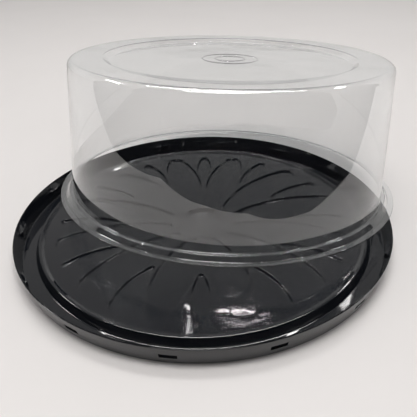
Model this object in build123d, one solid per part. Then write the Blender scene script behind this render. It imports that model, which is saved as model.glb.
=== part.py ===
"""Round display container for a cake: a thin moulded base tray and a loose clear dome.

Millimetres, +Z up.  The origin is the middle of the tray's underside, where the tray's
hub touches the table.  The tray stands level.  The dome is taken off and put down aside,
leaning on the tray: its flange lies across the tray's rim at two places, and the far edge
of the flange stands on the table beyond the tray.
"""

import os
from math import atan2, cos, degrees, hypot, radians, sin, tan

from build123d import *

# ---- base tray -----------------------------------------------------------------------
TRAY_SHEET = 0.9            # thickness of the moulded sheet
RIM_RADIUS = 152.5          # outside of the wall at the rim
RIM_HEIGHT = 16.0           # rim above the table
WALL_LEAN = 3.5             # how far the wall leans out from the table up to the rim
FOOT_FILLET = 1.0           # inside corner between the channel and the wall

CHANNEL_SPAN = 15.0         # from the raised ring's crest out to the wall's foot
RING_CREST_WIDTH = 1.6      # the ring stands between the floor and the channel
RING_RISE = 1.8             # crest above the floor
RING_INNER_RUN = 2.6        # how far its inner slope runs in to the floor
RING_OUTER_RUN = 2.8        # how far its outer slope runs out to the channel
RING_FILLET = 0.7

HUB_RADIUS = 20.5           # round recess in the middle, which stands on the table
HUB_DEPTH = 4.7
HUB_WALL_RUN = 1.8
FLOOR_FILLET = 0.8

# ---- petals pressed into the floor -----------------------------------------------------
PETAL_DEPTH = 1.8
PETAL_WALL_RUN = 0.7        # how far a petal's wall leans in over its depth
PETAL_PITCH = 30.0          # degrees from one petal to the next of its kind
LONG_ANGLE = 13.0           # direction of the first long petal
SHORT_ANGLE = 28.0          # and of the first short one, between two long ones
LONG_FROM_HUB = 5.5         # floor left between the hub and a long petal
LONG_FROM_RING = 8.1        # and between its other end and the ring's inner slope
LONG_SPREAD = 11.57         # half the angle that a long petal takes up, seen from the middle
LONG_ROUNDS = (4.4, 8.4)    # radius of its inner and of its outer end
SHORT_LEAD = 3.25           # how far inside a long petal's middle a short one starts
SHORT_FROM_RING = 8.6
SHORT_SPREAD = 4.27
SHORT_ROUNDS = (2.4, 3.6)

# ---- snap pockets in the wall ------------------------------------------------------------
# a pocket is pressed in from outside, and stands inside the wall as a lug over the seated flange
POCKET_COUNT = 14
POCKET_ANGLE = 81.0         # direction of the first pocket
POCKET_WIDTH = 11.5
POCKET_HEIGHT = 3.9
POCKET_SILL = 6.0           # lower edge of a pocket above the table
LUG_BITE = 0.4              # how far a lug reaches in over the seated flange
LEAD_ROUNDING = 25.0        # radius in plan of the lead-in that slopes from the rim to a lug
LEAD_GAP = 0.8              # top of the lead-in below the rim

# ---- clear dome -----------------------------------------------------------------------------
DOME_SHEET = 0.7
SEAT_CLEARANCE = 0.3        # round the flange when it is seated inside the wall
SEAT_GAP = 0.3              # from the seated flange up to the lugs
LIP_WIDTH = 4.4             # flat outer lip of the flange
STEP_RUN = 3.4              # slope up from the lip to the ledge
LEDGE_WIDTH = 2.7
LEDGE_HEIGHT = 4.2          # top of the ledge above the flange's underside
DOME_HEIGHT = 112.5         # top of the dome above the flange's underside
WALL_DRAFT = 3.4            # degrees that the side wall leans in
SHOULDER_FILLET = 4.8
FLANGE_FILLET = 0.9         # at the wall's base and on both edges of the step
PANEL_MARGIN = 27.9         # from the shoulder's corner in to the edge of the sunken top panel
PANEL_DEPTH = 3.2
PANEL_WALL_RUN = 5.0
PANEL_FILLET = 2.0

# ---- how the dome leans -----------------------------------------------------------------------
LEAN_SHIFT = 57.3           # from the tray's centre to the flange's centre, in plan
LEAN_DIRECTION = 66.5       # degrees from +X, towards the edge that stands on the table
LEAN_CLEARANCE = 0.3        # from the flange to the rim and to the table

LEAST_FILLET = 0.1          # where the sheet is thicker than a fillet on its other side
OVERRUN = 0.05              # how far a joined or cut body passes a face

# ---- sizes that follow ------------------------------------------------------------------------
FLOOR_TOP = TRAY_SHEET + HUB_DEPTH
RING_TOP = FLOOR_TOP + RING_RISE
FOOT_RADIUS = RIM_RADIUS - WALL_LEAN                    # outside of the wall at the table
WALL_SLOPE = WALL_LEAN / RIM_HEIGHT
RING_RADIUS = FOOT_RADIUS - CHANNEL_SPAN                # middle of the ring's crest
RING_INNER_FOOT = RING_RADIUS - RING_CREST_WIDTH / 2 - RING_INNER_RUN


def wall_inner_radius(height):
    """Inside radius of the tray's wall at a height above the table."""
    return FOOT_RADIUS + WALL_SLOPE * height - TRAY_SHEET


def petal_sizes(start, end, spread, rounds):
    """A petal runs from start to end along a radius: each end is round, the sides are arcs."""
    half_width = (start + end) / 2 * tan(radians(spread))
    return {"start": start, "end": end, "half_width": half_width, "rounds": rounds}


LONG_START = HUB_RADIUS + LONG_FROM_HUB
LONG_END = RING_INNER_FOOT - LONG_FROM_RING
SHORT_START = (LONG_START + LONG_END) / 2 - SHORT_LEAD
SHORT_END = RING_INNER_FOOT - SHORT_FROM_RING
LONG_PETAL = petal_sizes(LONG_START, LONG_END, LONG_SPREAD, LONG_ROUNDS)
SHORT_PETAL = petal_sizes(SHORT_START, SHORT_END, SHORT_SPREAD, SHORT_ROUNDS)

LUG_BOTTOM = POCKET_SILL - TRAY_SHEET
SEAT_HEIGHT = LUG_BOTTOM - SEAT_GAP - DOME_SHEET        # underside of the seated flange
FLANGE_RADIUS = wall_inner_radius(SEAT_HEIGHT) - SEAT_CLEARANCE
LUG_RADIUS = FLANGE_RADIUS - LUG_BITE                   # inner face of the lugs
LIP_INNER_RADIUS = FLANGE_RADIUS - LIP_WIDTH
WALL_BASE_RADIUS = LIP_INNER_RADIUS - STEP_RUN - LEDGE_WIDTH
SHOULDER_RADIUS = WALL_BASE_RADIUS - (DOME_HEIGHT - LEDGE_HEIGHT) * tan(radians(WALL_DRAFT))
PANEL_RADIUS = SHOULDER_RADIUS - PANEL_MARGIN


def beside(skin, radii, amount):
    """Corners and fillet radii of the line that lies to the right of a skin by an amount."""
    ways = [atan2(after[1] - here[1], after[0] - here[0]) for here, after in zip(skin, skin[1:])]
    ways = [ways[0], *ways, ways[-1]]
    corners = []
    for (radius, height), into, out in zip(skin, ways, ways[1:]):
        middle = (into + out) / 2
        reach = amount / cos((out - into) / 2)
        corners.append((radius + reach * sin(middle), height - reach * cos(middle)))
    rounds = []
    for fillet, into, out in zip(radii, ways[1:], ways[2:]):
        rounds.append(fillet + amount if out > into else max(fillet - amount, LEAST_FILLET))
    return corners, rounds


def turned_sheet(skin, radii, thickness):
    """Thin shell turned about Z: skin is its upper line of (radius, height), from the axis out."""
    lower, lower_radii = beside(skin, radii, thickness)
    with BuildSketch(Plane.XZ) as section:
        with BuildLine():
            FilletPolyline(*skin, radius=radii)
            FilletPolyline(*lower, radius=lower_radii)
            Line(skin[0], lower[0])
            Line(skin[-1], lower[-1])
        make_face()
    return revolve(section.sketch, Axis.Z)


def around(body, count, pitch, first):
    """Copies of a body that lies on +X, turned about Z; angles in degrees."""
    return [Rot(0, 0, first + index * pitch) * body for index in range(count)]


# ---- the base tray --------------------------------------------------------------------------
def tray_sheet():
    """Hub recess, floor, raised ring, channel and wall as one sheet."""
    crest_in = RING_INNER_FOOT + RING_INNER_RUN
    crest_out = crest_in + RING_CREST_WIDTH
    skin = [
        (0, TRAY_SHEET),
        (HUB_RADIUS - HUB_WALL_RUN, TRAY_SHEET),
        (HUB_RADIUS, FLOOR_TOP),
        (RING_INNER_FOOT, FLOOR_TOP),
        (crest_in, RING_TOP),
        (crest_out, RING_TOP),
        (crest_out + RING_OUTER_RUN, TRAY_SHEET),
        (wall_inner_radius(TRAY_SHEET), TRAY_SHEET),
        (wall_inner_radius(RIM_HEIGHT), RIM_HEIGHT),
    ]
    radii = [FLOOR_FILLET, FLOOR_FILLET, RING_FILLET, RING_FILLET, RING_FILLET, RING_FILLET, FOOT_FILLET]
    return turned_sheet(skin, radii, TRAY_SHEET)


def side_arc(petal):
    """Middle (along, below) and radius of the arc that bulges to the petal's half width
    and touches the round at each end."""
    half_width = petal["half_width"]
    start_round, end_round = petal["rounds"]
    start_middle = petal["start"] + start_round
    end_middle = petal["end"] - end_round
    along = (start_middle + end_middle) / 2
    for _ in range(50):
        run = along - start_middle
        radius = (run**2 + half_width**2 - start_round**2) / (2 * (half_width - start_round))
        lean = (end_round - start_round) * (2 * radius - start_round - end_round)
        along = (start_middle + end_middle) / 2 + lean / (2 * (end_middle - start_middle))
    return along, radius - half_width, radius


def petal_face(petal, margin, height):
    """Petal outline along +X as a face at a height, wider all round by the margin."""
    along, below, radius = side_arc(petal)

    def touch(round_middle):
        reach = (radius + margin) / hypot(round_middle - along, below)
        return along + (round_middle - along) * reach, below * reach - below

    start_round, end_round = petal["rounds"]
    start_x, start_y = touch(petal["start"] + start_round)
    end_x, end_y = touch(petal["end"] - end_round)
    half_width = petal["half_width"] + margin
    edges = [
        ThreePointArc((start_x, start_y), (along, half_width), (end_x, end_y)),
        ThreePointArc((end_x, end_y), (petal["end"] + margin, 0), (end_x, -end_y)),
        ThreePointArc((end_x, -end_y), (along, -half_width), (start_x, -start_y)),
        ThreePointArc((start_x, -start_y), (petal["start"] - margin, 0), (start_x, start_y)),
    ]
    return Pos(0, 0, height) * make_face(edges)


def all_petals(margin, top, depth):
    """Both sets of petals as bodies that go down from a height with leaning walls."""
    taper = degrees(atan2(PETAL_WALL_RUN, PETAL_DEPTH))
    count = round(360 / PETAL_PITCH)
    bodies = []
    for petal, first in ((LONG_PETAL, LONG_ANGLE), (SHORT_PETAL, SHORT_ANGLE)):
        body = extrude(petal_face(petal, margin, top), amount=depth, dir=(0, 0, -1), taper=taper)
        bodies += around(body, count, PETAL_PITCH, first)
    return bodies


def wall_core(bottom, top):
    """Everything inside the middle of the wall's sheet between two heights."""
    half_sheet = TRAY_SHEET / 2
    core = Cone(wall_inner_radius(bottom) + half_sheet, wall_inner_radius(top) + half_sheet, top - bottom)
    return Pos(0, 0, (bottom + top) / 2) * core


def pocket_block(margin):
    """Block on +X that fills a pocket, wider all round by the margin, from its face outwards."""
    face = LUG_RADIUS + TRAY_SHEET - margin
    depth = 2 * (RIM_RADIUS - face)
    width = POCKET_WIDTH + 2 * margin
    height = POCKET_HEIGHT + 2 * margin
    return Pos(face + depth / 2, 0, POCKET_SILL + POCKET_HEIGHT / 2) * Box(depth, width, height)


def lead_in():
    """Swelling inside the wall over a pocket, which guides the flange down past the lug."""
    bottom = POCKET_SILL + POCKET_HEIGHT
    top = RIM_HEIGHT - LEAD_GAP
    middle = LUG_RADIUS + LEAD_ROUNDING
    swelling = Cone(LEAD_ROUNDING, middle - wall_inner_radius(top), top - bottom)
    return (Pos(middle, 0, (bottom + top) / 2) * swelling) & wall_core(bottom, top)


def snap_lug():
    """What a pocket adds inside the wall: the lug and its lead-in."""
    lug = pocket_block(TRAY_SHEET) & wall_core(LUG_BOTTOM - OVERRUN, RIM_HEIGHT)
    return lug + lead_in()


def base_tray():
    """The whole tray: sheet, petal pans, lugs and the pockets behind them."""
    pitch = 360 / POCKET_COUNT
    tray = tray_sheet()
    tray += all_petals(TRAY_SHEET, FLOOR_TOP - TRAY_SHEET + OVERRUN, PETAL_DEPTH + OVERRUN)
    tray -= all_petals(0, FLOOR_TOP + OVERRUN, PETAL_DEPTH + OVERRUN)
    tray += around(snap_lug(), POCKET_COUNT, pitch, POCKET_ANGLE)
    tray -= around(pocket_block(0), POCKET_COUNT, pitch, POCKET_ANGLE)
    return tray


# ---- the clear dome ---------------------------------------------------------------------------
def dome():
    """Top panel, shoulder, side wall, ledge, step and lip, with the flange's underside at z = 0."""
    skin = [
        (0, DOME_HEIGHT - PANEL_DEPTH),
        (PANEL_RADIUS - PANEL_WALL_RUN, DOME_HEIGHT - PANEL_DEPTH),
        (PANEL_RADIUS, DOME_HEIGHT),
        (SHOULDER_RADIUS, DOME_HEIGHT),
        (WALL_BASE_RADIUS, LEDGE_HEIGHT),
        (WALL_BASE_RADIUS + LEDGE_WIDTH, LEDGE_HEIGHT),
        (LIP_INNER_RADIUS, DOME_SHEET),
        (FLANGE_RADIUS, DOME_SHEET),
    ]
    radii = [PANEL_FILLET, PANEL_FILLET, SHOULDER_FILLET, FLANGE_FILLET, FLANGE_FILLET, FLANGE_FILLET]
    return turned_sheet(skin, radii, DOME_SHEET)


def lean():
    """Place of the dome with its lip across the rim and its far edge on the table."""
    rim_reach = (RIM_RADIUS**2 + LEAN_SHIFT**2 - LIP_INNER_RADIUS**2) / (2 * LEAN_SHIFT)
    tilt = 0.0
    for _ in range(20):
        tilt = atan2(RIM_HEIGHT, LEAN_SHIFT + FLANGE_RADIUS * cos(tilt) - rim_reach)
    toward = radians(LEAN_DIRECTION)
    height = FLANGE_RADIUS * sin(tilt) + LEAN_CLEARANCE
    centre = (LEAN_SHIFT * cos(toward), LEAN_SHIFT * sin(toward), height)
    up = (sin(tilt) * cos(toward), sin(tilt) * sin(toward), cos(tilt))
    across = (-sin(toward), cos(toward), 0)
    return Plane(origin=centre, x_dir=across, z_dir=up).location


def main():
    os.makedirs("parts", exist_ok=True)
    export_step(base_tray(), "parts/base_tray.step")
    export_step(lean() * dome(), "parts/clear_dome.step")


main()
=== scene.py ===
"""Looks of a round cake display container: a glossy black moulded tray and a clear dome.

The container's outlines are written in millimetres with the part's own sizes, apart from
those that are marked, and its two meshes are scaled to metres when they are made.  The stage is
in metres.  Edges that the part leaves sharp are rounded here.  The tray stands level at the
origin, and the dome leans on its rim.
"""

from math import acos, atan2, ceil, cos, degrees, pi, radians, sin, tan

import bpy
from mathutils import Matrix, Vector
from mathutils.geometry import delaunay_2d_cdt


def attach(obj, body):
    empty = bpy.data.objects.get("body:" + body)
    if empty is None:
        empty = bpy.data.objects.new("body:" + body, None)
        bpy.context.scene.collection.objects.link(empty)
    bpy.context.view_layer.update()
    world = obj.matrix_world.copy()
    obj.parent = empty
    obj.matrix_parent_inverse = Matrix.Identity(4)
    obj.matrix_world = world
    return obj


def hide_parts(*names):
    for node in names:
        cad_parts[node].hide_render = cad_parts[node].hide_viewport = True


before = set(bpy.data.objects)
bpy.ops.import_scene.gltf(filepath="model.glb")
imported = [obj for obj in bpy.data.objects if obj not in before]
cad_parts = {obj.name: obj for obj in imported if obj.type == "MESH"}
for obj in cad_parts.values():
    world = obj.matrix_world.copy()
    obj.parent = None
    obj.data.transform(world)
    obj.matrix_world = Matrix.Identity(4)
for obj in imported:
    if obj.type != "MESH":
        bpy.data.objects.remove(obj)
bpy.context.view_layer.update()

MM = 0.001

# ---- tray ------------------------------------------------------------------------------
TRAY_SHEET = 0.9
RIM_RADIUS = 152.5
RIM_HEIGHT = 16.0
WALL_LEAN = 3.5
FOOT_FILLET = 1.0
CHANNEL_SPAN = 15.0
RING_CREST_WIDTH = 1.6
RING_RISE = 1.8
RING_INNER_RUN = 2.6
RING_OUTER_RUN = 2.8
RING_FILLET = 0.7
HUB_RADIUS = 20.5
HUB_DEPTH = 4.7
HUB_WALL_RUN = 1.8
FLOOR_FILLET = 0.8
RIM_EDGE_FILLET = 0.4
RIM_BAND = 0.9               # top of the wall that the rim's outline takes in

PETAL_DEPTH = 1.8
PETAL_WALL_RUN = 1.1         # the part has 0.7: these lean more, so that the petals show
PETAL_PITCH = 30.0
LONG_ANGLE = 13.0
SHORT_ANGLE = 28.0
LONG_FROM_HUB = 5.5
LONG_FROM_RING = 8.1
LONG_SPREAD = 11.57
LONG_ROUNDS = (4.4, 8.4)
SHORT_LEAD = 3.25
SHORT_FROM_RING = 8.6
SHORT_SPREAD = 4.27
SHORT_ROUNDS = (2.4, 3.6)
PETAL_TOP_FILLET = 0.4       # along a petal's upper edge
PETAL_PAN_FILLET = 0.3       # round the bottom of a petal
PETAL_UNDER_FILLET = 0.3     # both edges on the underside
PETAL_UNDER_MARGIN = 0.1     # the sheet is drawn thin in the petals' walls

POCKET_COUNT = 14
POCKET_ANGLE = 81.0
POCKET_WIDTH = 11.5
POCKET_HEIGHT = 3.9
POCKET_SILL = 6.0
POCKET_ROUNDING = 0.4        # how far a pocket's edges are drawn out by the moulding
LUG_BITE = 0.4
LEAD_ROUNDING = 25.0
LEAD_GAP = 0.8

# ---- dome ------------------------------------------------------------------------------
DOME_SHEET = 0.7
SEAT_CLEARANCE = 0.3
SEAT_GAP = 0.3
LIP_WIDTH = 4.4
STEP_RUN = 3.4
LEDGE_WIDTH = 2.7
LEDGE_HEIGHT = 4.2
DOME_HEIGHT = 112.5
WALL_DRAFT = 3.4
SHOULDER_FILLET = 4.8
FLANGE_FILLET = 0.9
PANEL_MARGIN = 27.9
PANEL_DEPTH = 3.2
PANEL_WALL_RUN = 5.0
PANEL_FILLET = 2.0
DOME_EDGE_FILLET = 0.3       # both edges of the flange's rim
PANEL_RINGS = (12.0, 23.0)   # radii of two plain ridges on the top panel
RIDGE_RISE = 0.35
RIDGE_HALF_CREST = 0.3
RIDGE_HALF_BASE = 0.9
RIDGE_FILLET = 0.3
PANEL_MIDDLE = 8.0           # flat disc inside the ridges
LEAN_SHIFT = 57.3
LEAN_DIRECTION = 66.5
LEAN_CLEARANCE = 0.3

# ---- fineness of the two meshes --------------------------------------------------------
GUARD = 0.2                  # flat strip kept beside each fillet, so that flats shade flat
PETAL_GUARD = 0.03           # the same beside the petals' fillets
EDGE_GUARD = 0.02            # the same at the flange's rim
ARC_STEP = 14.0              # degrees between the points of a fillet
APRON = 2.5                  # flat kept beyond the last fillet, beside the ring and the hub
PETAL_APRON = 2.0
TRAY_LEAST_FILLET = 0.2      # least on the sheet's other side; the part has 0.1 on both sheets
DOME_LEAST_FILLET = 0.25
HUB_SIDES = 120
UPPER_WALL_ROWS = [11.8, 12.8, 13.8, 14.6]   # heights of the mesh rows over the lugs
LUG_COLUMNS = [2.0, 4.0]     # mesh columns on a lug, from its middle
LEAD_COLUMNS = [0.8, 1.7, 2.8]               # and beside it, from its edge
PLAIN_COLUMNS = 6            # steps of the mesh round the wall, from one lug to the next
DOME_SIDES = 288

# ---- sizes that follow -----------------------------------------------------------------
FLOOR_TOP = TRAY_SHEET + HUB_DEPTH
RING_TOP = FLOOR_TOP + RING_RISE
FOOT_RADIUS = RIM_RADIUS - WALL_LEAN
WALL_SLOPE = WALL_LEAN / RIM_HEIGHT
RING_RADIUS = FOOT_RADIUS - CHANNEL_SPAN
RING_INNER_FOOT = RING_RADIUS - RING_CREST_WIDTH / 2 - RING_INNER_RUN


def wall_outer_radius(height):
    return FOOT_RADIUS + WALL_SLOPE * height


def wall_inner_radius(height):
    return wall_outer_radius(height) - TRAY_SHEET


SEAT_HEIGHT = POCKET_SILL - TRAY_SHEET - SEAT_GAP - DOME_SHEET
FLANGE_RADIUS = wall_inner_radius(SEAT_HEIGHT) - SEAT_CLEARANCE
LUG_RADIUS = FLANGE_RADIUS - LUG_BITE
LIP_INNER_RADIUS = FLANGE_RADIUS - LIP_WIDTH
WALL_BASE_RADIUS = LIP_INNER_RADIUS - STEP_RUN - LEDGE_WIDTH
SHOULDER_RADIUS = WALL_BASE_RADIUS - (DOME_HEIGHT - LEDGE_HEIGHT) * tan(radians(WALL_DRAFT))
PANEL_RADIUS = SHOULDER_RADIUS - PANEL_MARGIN


# ---- outlines --------------------------------------------------------------------------
def cross(a, b):
    return a[0] * b[1] - a[1] * b[0]


def turned(x, y, angle):
    return x * cos(angle) - y * sin(angle), x * sin(angle) + y * cos(angle)


def rounded(corners, radii, guard=GUARD):
    """Points along the outline, each inner corner rounded, with a guard strip beside each round."""
    points = [Vector(corners[0])]
    for index, radius in enumerate(radii, 1):
        before, corner, after = (Vector(corners[at]) for at in (index - 1, index, index + 1))
        back = (before - corner).normalized()
        onward = (after - corner).normalized()
        half = acos(max(-1.0, min(1.0, back.dot(onward)))) / 2
        reach = radius / tan(half)
        middle = corner + (back + onward).normalized() * (radius / sin(half))
        turn = (pi - 2 * half) * (1 if cross(-back, onward) > 0 else -1)
        first = corner + back * reach - middle
        points.append(corner + back * (reach + guard))
        steps = max(3, ceil(degrees(abs(turn)) / ARC_STEP))
        for step in range(steps + 1):
            angle = turn * step / steps
            points.append(middle + Vector(turned(first[0], first[1], angle)))
        points.append(corner + onward * (reach + guard))
    points.append(Vector(corners[-1]))
    return points


def beside(corners, amount):
    """The outline moved to its right by an amount."""
    moved = []
    for index, corner in enumerate(corners):
        corner = Vector(corner)
        into = (corner - Vector(corners[index - 1])).normalized() if index else None
        out = (Vector(corners[index + 1]) - corner).normalized() if index + 1 < len(corners) else None
        into = into or out
        out = out or into
        across = Vector((into[1] + out[1], -into[0] - out[0])).normalized()
        moved.append(corner + across * (amount / across.dot((into[1], -into[0]))))
    return moved


def beside_radii(corners, radii, amount, least):
    """Fillet radii of the outline that lies beside the given one, none under the least."""
    result = []
    for index, radius in enumerate(radii, 1):
        before, corner, after = (Vector(corners[at]) for at in (index - 1, index, index + 1))
        left_turn = cross(corner - before, after - corner) > 0
        result.append(max(least, radius + amount if left_turn else radius - amount))
    return result


# ---- mesh helpers ----------------------------------------------------------------------
class Shell:
    """Vertices and faces of one mesh, gathered in millimetres."""

    def __init__(self):
        self.points = []
        self.faces = []

    def add(self, x, y, z):
        self.points.append((x, y, z))
        return len(self.points) - 1

    def ring(self, radius, height, angles):
        return [self.add(radius * cos(a), radius * sin(a), height) for a in angles]

    def band(self, low, high, closed=True):
        """Quads between two rows of the same length."""
        count = len(low)
        for index in range(count if closed else count - 1):
            after = (index + 1) % count
            self.faces.append((low[index], low[after], high[after], high[index]))

    def build(self, name, material, sharp=32.0):
        mesh = bpy.data.meshes.new(name)
        mesh.from_pydata([Vector(p) * MM for p in self.points], [], self.faces)
        mesh.validate()
        piece = bpy.data.objects.new(name, mesh)
        bpy.context.scene.collection.objects.link(piece)
        bpy.context.view_layer.objects.active = piece
        piece.select_set(True)
        bpy.ops.object.mode_set(mode="EDIT")
        bpy.ops.mesh.select_all(action="SELECT")
        bpy.ops.mesh.normals_make_consistent(inside=False)
        bpy.ops.object.mode_set(mode="OBJECT")
        piece.select_set(False)
        mesh.shade_smooth()
        mesh.set_sharp_from_angle(angle=radians(sharp))
        mesh.materials.append(material)
        return piece


# ---- petals ----------------------------------------------------------------------------
class Petal:
    """Outline along +X: an arc on each side and a round at each end, all tangent."""

    END_STEPS = 10
    SIDE_STEPS = 17
    START_STEPS = 6

    def __init__(self, start, end, spread, rounds, angle):
        self.start, self.end, self.angle = start, end, radians(angle)
        self.start_round, self.end_round = rounds
        self.half_width = (start + end) / 2 * tan(radians(spread))
        start_middle = start + self.start_round
        end_middle = end - self.end_round
        self.along = (start_middle + end_middle) / 2
        # each side's arc is tangent to both end rounds: its radius and its middle settle together
        for _ in range(50):
            run = self.along - start_middle
            width = self.half_width - self.start_round
            radius = (run**2 + self.half_width**2 - self.start_round**2) / (2 * width)
            lean = (self.end_round - self.start_round) * (2 * radius - self.start_round - self.end_round)
            self.along = (start_middle + end_middle) / 2 + lean / (2 * (end_middle - start_middle))
        self.side_radius = radius
        self.below = radius - self.half_width

    def loop(self, margin):
        """Points of the outline, wider all round by the margin, turned to the petal's place."""
        end_middle = self.end - self.end_round
        start_middle = self.start + self.start_round
        end_turn = atan2(self.below, end_middle - self.along)
        start_turn = atan2(self.below, start_middle - self.along)
        arcs = (
            (end_middle, 0, self.end_round, -end_turn, end_turn, self.END_STEPS),
            (self.along, -self.below, self.side_radius, end_turn, start_turn, self.SIDE_STEPS),
            (start_middle, 0, self.start_round, start_turn, 2 * pi - start_turn, self.START_STEPS),
            (self.along, self.below, self.side_radius, -start_turn, -end_turn, self.SIDE_STEPS),
        )
        points = []
        for x, y, radius, first, last, steps in arcs:
            for step in range(steps):
                a = first + (last - first) * step / steps
                px, py = x + (radius + margin) * cos(a), y + (radius + margin) * sin(a)
                points.append(turned(px, py, self.angle))
        return points


def all_petals():
    long_start = HUB_RADIUS + LONG_FROM_HUB
    long_end = RING_INNER_FOOT - LONG_FROM_RING
    short_start = (long_start + long_end) / 2 - SHORT_LEAD
    short_end = RING_INNER_FOOT - SHORT_FROM_RING
    petals = []
    for index in range(round(360 / PETAL_PITCH)):
        turn = index * PETAL_PITCH
        petals.append(Petal(long_start, long_end, LONG_SPREAD, LONG_ROUNDS, LONG_ANGLE + turn))
        petals.append(Petal(short_start, short_end, SHORT_SPREAD, SHORT_ROUNDS, SHORT_ANGLE + turn))
    return petals


def petal_pans(shell, petals, outline):
    """Sinks each petal below the floor along an outline of (margin, height), from the floor in.
    Gives the rows where the petals meet the floor."""
    edges = []
    for petal in petals:
        rows = []
        for margin, height in outline:
            rows.append([shell.add(x, y, height) for x, y in petal.loop(margin)])
        for upper, lower in zip(rows, rows[1:]):
            shell.band(upper, lower)
        shell.faces.append(tuple(rows[-1]))
        edges.append(rows[0])
    return edges


def flat_floor(shell, outer, holes):
    """Fills the flat between an outer row of points and the rows round its holes."""
    loops = [outer] + holes
    corner_of = []
    loop_of = []
    edges = []
    for number, loop in enumerate(loops):
        base = len(corner_of)
        corner_of += loop
        loop_of += [number] * len(loop)
        edges += [(base + at, base + (at + 1) % len(loop)) for at in range(len(loop))]
    flat = [Vector(shell.points[corner][:2]) for corner in corner_of]
    points, _, faces, original, _, _ = delaunay_2d_cdt(flat, edges, [], 0, 1e-5)
    for face in faces:
        corners = [original[at][0] for at in face]
        numbers = {loop_of[at] for at in corners}
        if len(numbers) == 1 and 0 not in numbers:
            continue
        shell.faces.append(tuple(corner_of[at] for at in corners))


# ---- the tray --------------------------------------------------------------------------
def tray_columns():
    """Columns of the mesh round the tray: each one's direction, and how far it is from the
    middle of the nearest pocket.  All those between two lugs count as half the pitch away."""
    pocket_edge = POCKET_WIDTH / 2
    lug_edge = pocket_edge + TRAY_SHEET
    half = list(LUG_COLUMNS)
    for edge in (pocket_edge, lug_edge):
        half += [edge - POCKET_ROUNDING, edge - POCKET_ROUNDING / 2, edge]
    half += [lug_edge + away for away in LEAD_COLUMNS]
    across = [-value for value in reversed(half)] + [0.0] + half
    pitch = 2 * pi / POCKET_COUNT
    last = half[-1] / RIM_RADIUS
    columns = []
    for index in range(POCKET_COUNT):
        middle = radians(POCKET_ANGLE) + index * pitch
        columns += [(middle + value / RIM_RADIUS, value) for value in across]
        step = (pitch - 2 * last) / PLAIN_COLUMNS
        columns += [(middle + last + at * step, pitch * RIM_RADIUS / 2) for at in range(1, PLAIN_COLUMNS)]
    return columns


def ramp(value, start, length):
    """Rises smoothly from 0 to 1 over a length."""
    share = max(0.0, min(1.0, (value - start) / length))
    return share * share * (3 - 2 * share)


def pushed_in(side, height, margin):
    """How far the wall stands in at a distance from a pocket's middle: the margin is 0 on the
    outside of the sheet and the sheet's thickness on the inside."""
    face = LUG_RADIUS + TRAY_SHEET - margin
    bare = wall_outer_radius(height) - margin
    across = ramp(POCKET_WIDTH / 2 + margin - abs(side), 0, POCKET_ROUNDING)
    upward = ramp(height, POCKET_SILL - margin, POCKET_ROUNDING)
    downward = ramp(POCKET_SILL + POCKET_HEIGHT + margin - height, 0, POCKET_ROUNDING)
    pocket = (bare - face) * across * upward * downward
    if not margin:
        return max(pocket, 0.0)
    head = POCKET_SILL + POCKET_HEIGHT
    top = RIM_HEIGHT - LEAD_GAP
    rise = (height - head) / (top - head)
    drawn_back = (wall_inner_radius(top) - LUG_RADIUS) * rise
    lead = bare - LUG_RADIUS - drawn_back - side**2 / 2 * (1 / LEAD_ROUNDING + 1 / RIM_RADIUS)
    return max(pocket, lead if rise >= 0 else 0.0, 0.0)


def tray_skin():
    """Outlines of the sheet's upper side, as (radius, height), each with its fillets: from the
    floor over the ring and the channel to the rim, and over the edge of the hub."""
    crest_in = RING_INNER_FOOT + RING_INNER_RUN
    crest_out = crest_in + RING_CREST_WIDTH
    ring = [
        (RING_INNER_FOOT - APRON, FLOOR_TOP),
        (RING_INNER_FOOT, FLOOR_TOP),
        (crest_in, RING_TOP),
        (crest_out, RING_TOP),
        (crest_out + RING_OUTER_RUN, TRAY_SHEET),
        (wall_inner_radius(TRAY_SHEET), TRAY_SHEET),
        (wall_inner_radius(RIM_HEIGHT), RIM_HEIGHT),
    ]
    ring_radii = [RING_FILLET] * 4 + [FOOT_FILLET]
    hub = [
        (HUB_RADIUS - HUB_WALL_RUN - APRON, TRAY_SHEET),
        (HUB_RADIUS - HUB_WALL_RUN, TRAY_SHEET),
        (HUB_RADIUS, FLOOR_TOP),
        (HUB_RADIUS + APRON, FLOOR_TOP),
    ]
    return ring, ring_radii, hub, [FLOOR_FILLET] * 2


def wall_heights():
    """Heights of the wall's mesh rows: close together at the edges of the pockets."""
    heights = []
    for edge in (POCKET_SILL - TRAY_SHEET, POCKET_SILL):
        heights += [edge, edge + POCKET_ROUNDING / 3, edge + POCKET_ROUNDING * 2 / 3, edge + POCKET_ROUNDING]
    head = POCKET_SILL + POCKET_HEIGHT
    for edge in (head, head + TRAY_SHEET):
        heights += [edge - POCKET_ROUNDING, edge - POCKET_ROUNDING * 2 / 3, edge - POCKET_ROUNDING / 3, edge]
    return heights + UPPER_WALL_ROWS


def wall_row(shell, radius, height, columns, margin):
    row = []
    for angle, side in columns:
        r = radius - pushed_in(side, height, margin)
        row.append(shell.add(r * cos(angle), r * sin(angle), height))
    return row


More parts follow.
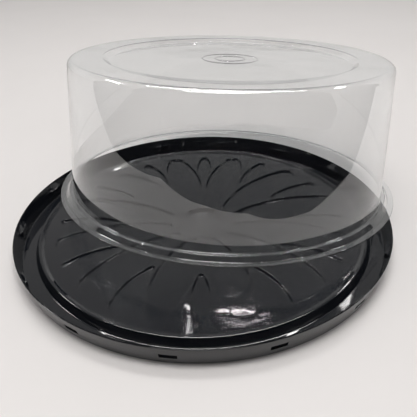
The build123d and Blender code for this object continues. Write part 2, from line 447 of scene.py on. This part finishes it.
def base_tray(material):
    shell = Shell()
    petals = all_petals()
    columns = tray_columns()
    ring, ring_radii, hub, hub_radii = tray_skin()

    # ring, channel and wall: up the inside, over the rim and down the outside
    angles = [angle for angle, _ in columns]
    rows = [shell.ring(r, z, angles) for r, z in rounded(ring, ring_radii)[:-1]]
    for height in wall_heights():
        rows.append(wall_row(shell, wall_inner_radius(height), height, columns, TRAY_SHEET))
    rim = [
        (wall_inner_radius(RIM_HEIGHT - RIM_BAND), RIM_HEIGHT - RIM_BAND),
        (wall_inner_radius(RIM_HEIGHT), RIM_HEIGHT),
        (wall_outer_radius(RIM_HEIGHT), RIM_HEIGHT),
        (wall_outer_radius(RIM_HEIGHT - RIM_BAND), RIM_HEIGHT - RIM_BAND),
    ]
    for radius, height in rounded(rim, [RIM_EDGE_FILLET] * 2):
        middle = wall_outer_radius(height) - TRAY_SHEET / 2
        rows.append(wall_row(shell, radius, height, columns, TRAY_SHEET if radius < middle else 0))
    for height in reversed(wall_heights()):
        rows.append(wall_row(shell, wall_outer_radius(height), height, columns, 0))
    under_radii = beside_radii(ring, ring_radii, TRAY_SHEET, TRAY_LEAST_FILLET)
    under = rounded(beside(ring, TRAY_SHEET), under_radii)
    rows += [shell.ring(r, z, angles) for r, z in under[-2::-1]]
    for low, high in zip(rows, rows[1:]):
        shell.band(low, high)

    # hub, petals and floor, above and below
    plain = [2 * pi * index / HUB_SIDES for index in range(HUB_SIDES)]
    top_edge, under_edge = rows[0], rows[-1]
    for side, edge in (("top", top_edge), ("under", under_edge)):
        if side == "top":
            hub_rows = rounded(hub, hub_radii)
            pan = FLOOR_TOP - PETAL_DEPTH
            wall = [(PETAL_APRON, FLOOR_TOP), (0, FLOOR_TOP)]
            wall += [(-PETAL_WALL_RUN, pan), (-PETAL_WALL_RUN - PETAL_APRON, pan)]
            outline = rounded(wall, [PETAL_TOP_FILLET, PETAL_PAN_FILLET], PETAL_GUARD)
        else:
            under_hub_radii = beside_radii(hub, hub_radii, TRAY_SHEET, TRAY_LEAST_FILLET)
            hub_rows = rounded(beside(hub, TRAY_SHEET), under_hub_radii)
            floor = FLOOR_TOP - TRAY_SHEET
            foot = PETAL_UNDER_MARGIN - PETAL_WALL_RUN
            wall = [(PETAL_UNDER_MARGIN + PETAL_APRON, floor), (PETAL_UNDER_MARGIN, floor)]
            wall += [(foot, floor - PETAL_DEPTH), (foot - PETAL_APRON, floor - PETAL_DEPTH)]
            outline = rounded(wall, [PETAL_UNDER_FILLET] * 2, PETAL_GUARD)
        made = [shell.ring(r, z, plain) for r, z in hub_rows]
        for low, high in zip(made, made[1:]):
            shell.band(low, high)
        shell.faces.append(tuple(made[0]))
        holes = petal_pans(shell, petals, outline[1:-1])
        flat_floor(shell, edge, [made[-1]] + holes)
    return shell.build("black_tray", material)


# ---- the dome --------------------------------------------------------------------------
def dome_place():
    """Where the dome leans, in metres: its lip across the rim and its far edge on the table."""
    rim_reach = (RIM_RADIUS**2 + LEAN_SHIFT**2 - LIP_INNER_RADIUS**2) / (2 * LEAN_SHIFT)
    tilt = 0.0
    # a steeper dome reaches less far, so the tilt and the reach settle together
    for _ in range(20):
        tilt = atan2(RIM_HEIGHT, LEAN_SHIFT + FLANGE_RADIUS * cos(tilt) - rim_reach)
    toward = radians(LEAN_DIRECTION)
    height = FLANGE_RADIUS * sin(tilt) + LEAN_CLEARANCE
    centre = Vector((LEAN_SHIFT * cos(toward), LEAN_SHIFT * sin(toward), height))
    up = Vector((sin(tilt) * cos(toward), sin(tilt) * sin(toward), cos(tilt)))
    across = Vector((-sin(toward), cos(toward), 0))
    axes = Matrix((across, up.cross(across), up)).transposed().to_4x4()
    return Matrix.Translation(centre * MM) @ axes


def clear_dome(material):
    shell = Shell()
    panel = DOME_HEIGHT - PANEL_DEPTH
    crest = panel + RIDGE_RISE
    skin = [(PANEL_MIDDLE, panel)]
    radii = []
    for radius in PANEL_RINGS:
        skin += [(radius - RIDGE_HALF_BASE, panel), (radius - RIDGE_HALF_CREST, crest)]
        skin += [(radius + RIDGE_HALF_CREST, crest), (radius + RIDGE_HALF_BASE, panel)]
        radii += [RIDGE_FILLET] * 4
    skin += [
        (PANEL_RADIUS - PANEL_WALL_RUN, panel),
        (PANEL_RADIUS, DOME_HEIGHT),
        (SHOULDER_RADIUS, DOME_HEIGHT),
        (WALL_BASE_RADIUS, LEDGE_HEIGHT),
        (WALL_BASE_RADIUS + LEDGE_WIDTH, LEDGE_HEIGHT),
        (LIP_INNER_RADIUS, DOME_SHEET),
        (FLANGE_RADIUS, DOME_SHEET),
    ]
    radii += [PANEL_FILLET, PANEL_FILLET, SHOULDER_FILLET] + [FLANGE_FILLET] * 3
    outer = rounded(skin, radii)
    inner = rounded(beside(skin, DOME_SHEET), beside_radii(skin, radii, DOME_SHEET, DOME_LEAST_FILLET))
    angles = [2 * pi * index / DOME_SIDES for index in range(DOME_SIDES)]
    edge_skin = [outer[-1] - Vector((1.0, 0)), outer[-1], inner[-1], inner[-1] - Vector((1.0, 0))]
    edge = rounded(edge_skin, [DOME_EDGE_FILLET] * 2, EDGE_GUARD)[1:-1]
    profile = outer[:-1] + edge + inner[-2::-1]
    rows = [shell.ring(r, z, angles) for r, z in profile]
    for low, high in zip(rows, rows[1:]):
        shell.band(low, high)
    shell.faces.append(tuple(rows[0]))
    shell.faces.append(tuple(rows[-1]))
    piece = shell.build("clear_dome_shell", material, sharp=60.0)
    piece.data.transform(dome_place())
    return piece


# ---- materials -------------------------------------------------------------------------
def new_material(name):
    material = bpy.data.materials.new(name)
    material.use_nodes = True
    nodes = material.node_tree.nodes
    nodes.clear()
    output = nodes.new("ShaderNodeOutputMaterial")
    shader = nodes.new("ShaderNodeBsdfPrincipled")
    material.node_tree.links.new(shader.outputs["BSDF"], output.inputs["Surface"])
    return material, nodes, material.node_tree.links, shader, output


def noise(nodes, links, place, scale, detail=2.0, roughness=0.5):
    texture = nodes.new("ShaderNodeTexNoise")
    texture.inputs["Scale"].default_value = scale
    texture.inputs["Detail"].default_value = detail
    texture.inputs["Roughness"].default_value = roughness
    links.new(place.outputs["Object"], texture.inputs["Vector"])
    return texture


def spread(nodes, links, value, low, high, from_low=0.3, from_high=0.7):
    """Takes a noise value over to the range from low to high."""
    node = nodes.new("ShaderNodeMapRange")
    node.inputs["From Min"].default_value = from_low
    node.inputs["From Max"].default_value = from_high
    node.inputs["To Min"].default_value = low
    node.inputs["To Max"].default_value = high
    links.new(value, node.inputs["Value"])
    return node.outputs["Result"]


def bump(nodes, links, height, distance, under=None):
    node = nodes.new("ShaderNodeBump")
    node.inputs["Strength"].default_value = 1.0
    node.inputs["Distance"].default_value = distance
    links.new(height, node.inputs["Height"])
    if under:
        links.new(under, node.inputs["Normal"])
    return node.outputs["Normal"]


def tray_material():
    """Glossy black moulded sheet: slow waves, fine ripples, faint dust and smears."""
    material, nodes, links, shader, _ = new_material("glossy_black_sheet")
    place = nodes.new("ShaderNodeTexCoord")
    waves = noise(nodes, links, place, 28.0, 1.0)
    ripple = noise(nodes, links, place, 95.0, 1.0)
    dust = noise(nodes, links, place, 900.0, 2.0, 0.6)
    smear = noise(nodes, links, place, 14.0, 3.0)

    colour = nodes.new("ShaderNodeValToRGB")
    colour.color_ramp.elements[0].position = 0.35
    colour.color_ramp.elements[0].color = (0.0050, 0.0062, 0.0090, 1)
    colour.color_ramp.elements[1].position = 0.80
    colour.color_ramp.elements[1].color = (0.012, 0.013, 0.016, 1)
    links.new(dust.outputs["Fac"], colour.inputs["Fac"])
    links.new(colour.outputs["Color"], shader.inputs["Base Color"])

    rough = spread(nodes, links, smear.outputs["Fac"], 0.03, 0.07)
    links.new(rough, shader.inputs["Roughness"])
    slow = bump(nodes, links, waves.outputs["Fac"], 0.00022)
    fine = bump(nodes, links, ripple.outputs["Fac"], 0.00004, under=slow)
    links.new(fine, shader.inputs["Normal"])
    shader.inputs["IOR"].default_value = 1.59
    return material


def dome_material():
    """Clear formed sheet: slow waves, a faint tint and haze; shadow rays pass through it."""
    material, nodes, links, shader, output = new_material("clear_formed_sheet")
    place = nodes.new("ShaderNodeTexCoord")
    waves = noise(nodes, links, place, 22.0, 1.0)
    haze = noise(nodes, links, place, 40.0, 3.0)
    tint = nodes.new("ShaderNodeValToRGB")
    tint.color_ramp.elements[0].color = (0.955, 0.965, 0.97, 1)
    tint.color_ramp.elements[1].color = (0.985, 0.99, 0.99, 1)
    links.new(haze.outputs["Fac"], tint.inputs["Fac"])
    links.new(tint.outputs["Color"], shader.inputs["Base Color"])
    rough = spread(nodes, links, haze.outputs["Fac"], 0.0, 0.006)
    links.new(rough, shader.inputs["Roughness"])
    links.new(bump(nodes, links, waves.outputs["Fac"], 0.00012), shader.inputs["Normal"])
    shader.inputs["IOR"].default_value = 1.62
    shader.inputs["Transmission Weight"].default_value = 1.0

    path = nodes.new("ShaderNodeLightPath")
    passing = nodes.new("ShaderNodeBsdfTransparent")
    passing.inputs["Color"].default_value = (0.93, 0.94, 0.945, 1)
    mix = nodes.new("ShaderNodeMixShader")
    links.new(path.outputs["Is Shadow Ray"], mix.inputs["Fac"])
    links.new(shader.outputs["BSDF"], mix.inputs[1])
    links.new(passing.outputs["BSDF"], mix.inputs[2])
    links.new(mix.outputs["Shader"], output.inputs["Surface"])
    return material


def floor_material():
    material, nodes, links, shader, _ = new_material("pale_floor")
    place = nodes.new("ShaderNodeTexCoord")
    grain = noise(nodes, links, place, 6.0, 3.0)
    colour = nodes.new("ShaderNodeValToRGB")
    colour.color_ramp.elements[0].color = (0.76, 0.735, 0.725, 1)
    colour.color_ramp.elements[1].color = (0.80, 0.775, 0.765, 1)
    links.new(grain.outputs["Fac"], colour.inputs["Fac"])
    links.new(colour.outputs["Color"], shader.inputs["Base Color"])
    shader.inputs["Roughness"].default_value = 0.55
    shader.inputs["Specular IOR Level"].default_value = 0.2
    return material


# ---- stage -----------------------------------------------------------------------------
def pale_floor():
    half, down = 5.0, -0.0002
    mesh = bpy.data.meshes.new("floor")
    corners = [(x, y, down) for x, y in ((-half, -half), (half, -half), (half, half), (-half, half))]
    mesh.from_pydata(corners, [], [(0, 1, 2, 3)])
    floor = bpy.data.objects.new("floor", mesh)
    bpy.context.scene.collection.objects.link(floor)
    mesh.materials.append(floor_material())


def dark_curtain():
    """The dark room beyond the pale table's edge: only rays that were reflected meet it."""
    folds = [(-0.95, 0.20), (-0.50, -0.10), (-0.33, -0.34), (-0.08, -0.34), (0.07, -0.30)]
    folds += [(0.20, -0.17), (0.26, -0.13), (0.32, -0.07), (0.9, 0.25)]
    height = 0.9
    points = [(x, y, z) for x, y in folds for z in (0.0, height)]
    faces = [(2 * at, 2 * at + 2, 2 * at + 3, 2 * at + 1) for at in range(len(folds) - 1)]
    mesh = bpy.data.meshes.new("dark_curtain")
    mesh.from_pydata(points, [], faces)
    curtain = bpy.data.objects.new("dark_curtain", mesh)
    bpy.context.scene.collection.objects.link(curtain)
    material, nodes, links, shader, output = new_material("dark_cloth")
    shader.inputs["Base Color"].default_value = (0.012, 0.012, 0.014, 1)
    shader.inputs["Roughness"].default_value = 0.95
    shader.inputs["Specular IOR Level"].default_value = 0.1
    path = nodes.new("ShaderNodeLightPath")
    unseen = nodes.new("ShaderNodeBsdfTransparent")
    mix = nodes.new("ShaderNodeMixShader")
    links.new(path.outputs["Glossy Depth"], mix.inputs["Fac"])
    links.new(unseen.outputs["BSDF"], mix.inputs[1])
    links.new(shader.outputs["BSDF"], mix.inputs[2])
    links.new(mix.outputs["Shader"], output.inputs["Surface"])
    mesh.materials.append(material)
    curtain.visible_camera = False
    curtain.visible_diffuse = False
    curtain.visible_shadow = False


WARM = (1.0, 0.985, 0.975)
PINK = (1.0, 0.93, 0.95)


def area_light(name, place, target, size, power, colour=WARM, up="Y"):
    """Rectangle that faces a target; up is the one of its own axes that points up most."""
    light = bpy.data.lights.new(name, "AREA")
    light.shape = "RECTANGLE"
    light.size, light.size_y = size
    light.energy = power
    light.color = colour
    lamp = bpy.data.objects.new(name, light)
    bpy.context.scene.collection.objects.link(lamp)
    lamp.location = place
    lamp.rotation_euler = (Vector(target) - Vector(place)).to_track_quat("-Z", up).to_euler()
    return lamp


def gloss_light(*details, **options):
    """An area light that shows in gloss and glass, and doesn't light what is dull."""
    area_light(*details, **options).visible_diffuse = False


def lights():
    """Soft panels overhead, tubes that draw lines in the gloss, and strips that glance off the
    front of the tray's floor."""
    middle = (0, 0, 0)
    front_floor = (0.02, -0.11, 0)
    area_light("front_panel", (0.0, -0.30, 2.0), (0, -0.1, 0), (1.3, 0.5), 22.5)
    area_light("back_panel", (0.1, 0.75, 2.0), (0, 0.1, 0), (1.3, 0.3), 8.0)
    gloss_light("back_tube", (0.1, 0.50, 1.5), middle, (1.6, 0.10), 28.0)
    gloss_light("left_tube", (-1.1, 0.25, 1.1), middle, (0.12, 0.9), 14.0, up="X")
    gloss_light("right_tube", (1.1, 0.25, 1.1), middle, (0.12, 0.9), 8.0, up="X")
    gloss_light("long_strip", (0.235, 1.76, 1.9), front_floor, (0.30, 0.012), 0.42, PINK)
    gloss_light("short_strip", (0.17, 1.76, 1.84), front_floor, (0.22, 0.012), 0.28, PINK)
    gloss_light("upright_strip", (-0.12, 1.76, 1.9), (0.0, -0.11, 0), (0.02, 0.20), 0.3)
    room_light()


def room_light():
    """Pale low down, darker higher up, a little paler overhead, and darker on the camera's side."""
    world = bpy.data.worlds.new("studio")
    world.use_nodes = True
    nodes, links = world.node_tree.nodes, world.node_tree.links
    background = nodes["Background"]
    place = nodes.new("ShaderNodeTexCoord")
    parts = nodes.new("ShaderNodeSeparateXYZ")
    links.new(place.outputs["Generated"], parts.inputs["Vector"])
    height = nodes.new("ShaderNodeValToRGB")
    steps = [(0.0, 0.62), (0.36, 0.62), (0.45, 0.46), (0.55, 0.42)]
    steps += [(0.72, 0.38), (0.80, 0.36), (1.0, 0.45)]
    for _ in steps[2:]:
        height.color_ramp.elements.new(0.5)
    for element, (place_up, value) in zip(height.color_ramp.elements, steps):
        element.position = place_up
        element.color = (value, value, value, 1)
    links.new(parts.outputs["Z"], height.inputs["Fac"])
    strength = nodes.new("ShaderNodeMath")
    strength.operation = "MULTIPLY"
    links.new(height.outputs["Color"], strength.inputs[0])
    links.new(spread(nodes, links, parts.outputs["Y"], 0.65, 1.0, -0.45, 0.25), strength.inputs[1])
    links.new(strength.outputs["Value"], background.inputs["Strength"])
    background.inputs["Color"].default_value = (1.0, 0.985, 0.97, 1)
    bpy.context.scene.world = world


def camera():
    """Looks down on the container from the front."""
    data = bpy.data.cameras.new("camera")
    data.sensor_width = 36.0
    data.lens = 41.47
    view = bpy.data.objects.new("camera", data)
    bpy.context.scene.collection.objects.link(view)
    place = (0, -0.34335, 0.23163)
    pan, tilt, roll = -0.0148, 0.5591, 0.0275
    spin = Matrix.Rotation(pan, 3, "Z")
    ahead = spin @ Vector((0, cos(tilt), -sin(tilt)))
    right = spin @ Vector((1, 0, 0))
    down = spin @ Vector((0, -sin(tilt), -cos(tilt)))
    rolled_right = cos(roll) * right + sin(roll) * down
    rolled_down = -sin(roll) * right + cos(roll) * down
    axes = Matrix((rolled_right, -rolled_down, -ahead)).transposed().to_4x4()
    view.matrix_world = Matrix.Translation(place) @ axes
    bpy.context.scene.camera = view


tray = base_tray(tray_material())
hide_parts("base_tray")
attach(tray, "tray")

cover = clear_dome(dome_material())
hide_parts("clear_dome")
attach(cover, "dome")

pale_floor()
dark_curtain()
lights()
camera()
bpy.context.scene.view_settings.view_transform = "Standard"
# shadow rays pass the dome, so light that also bends through it would count twice
bpy.context.scene.cycles.caustics_reflective = False
bpy.context.scene.cycles.caustics_refractive = False
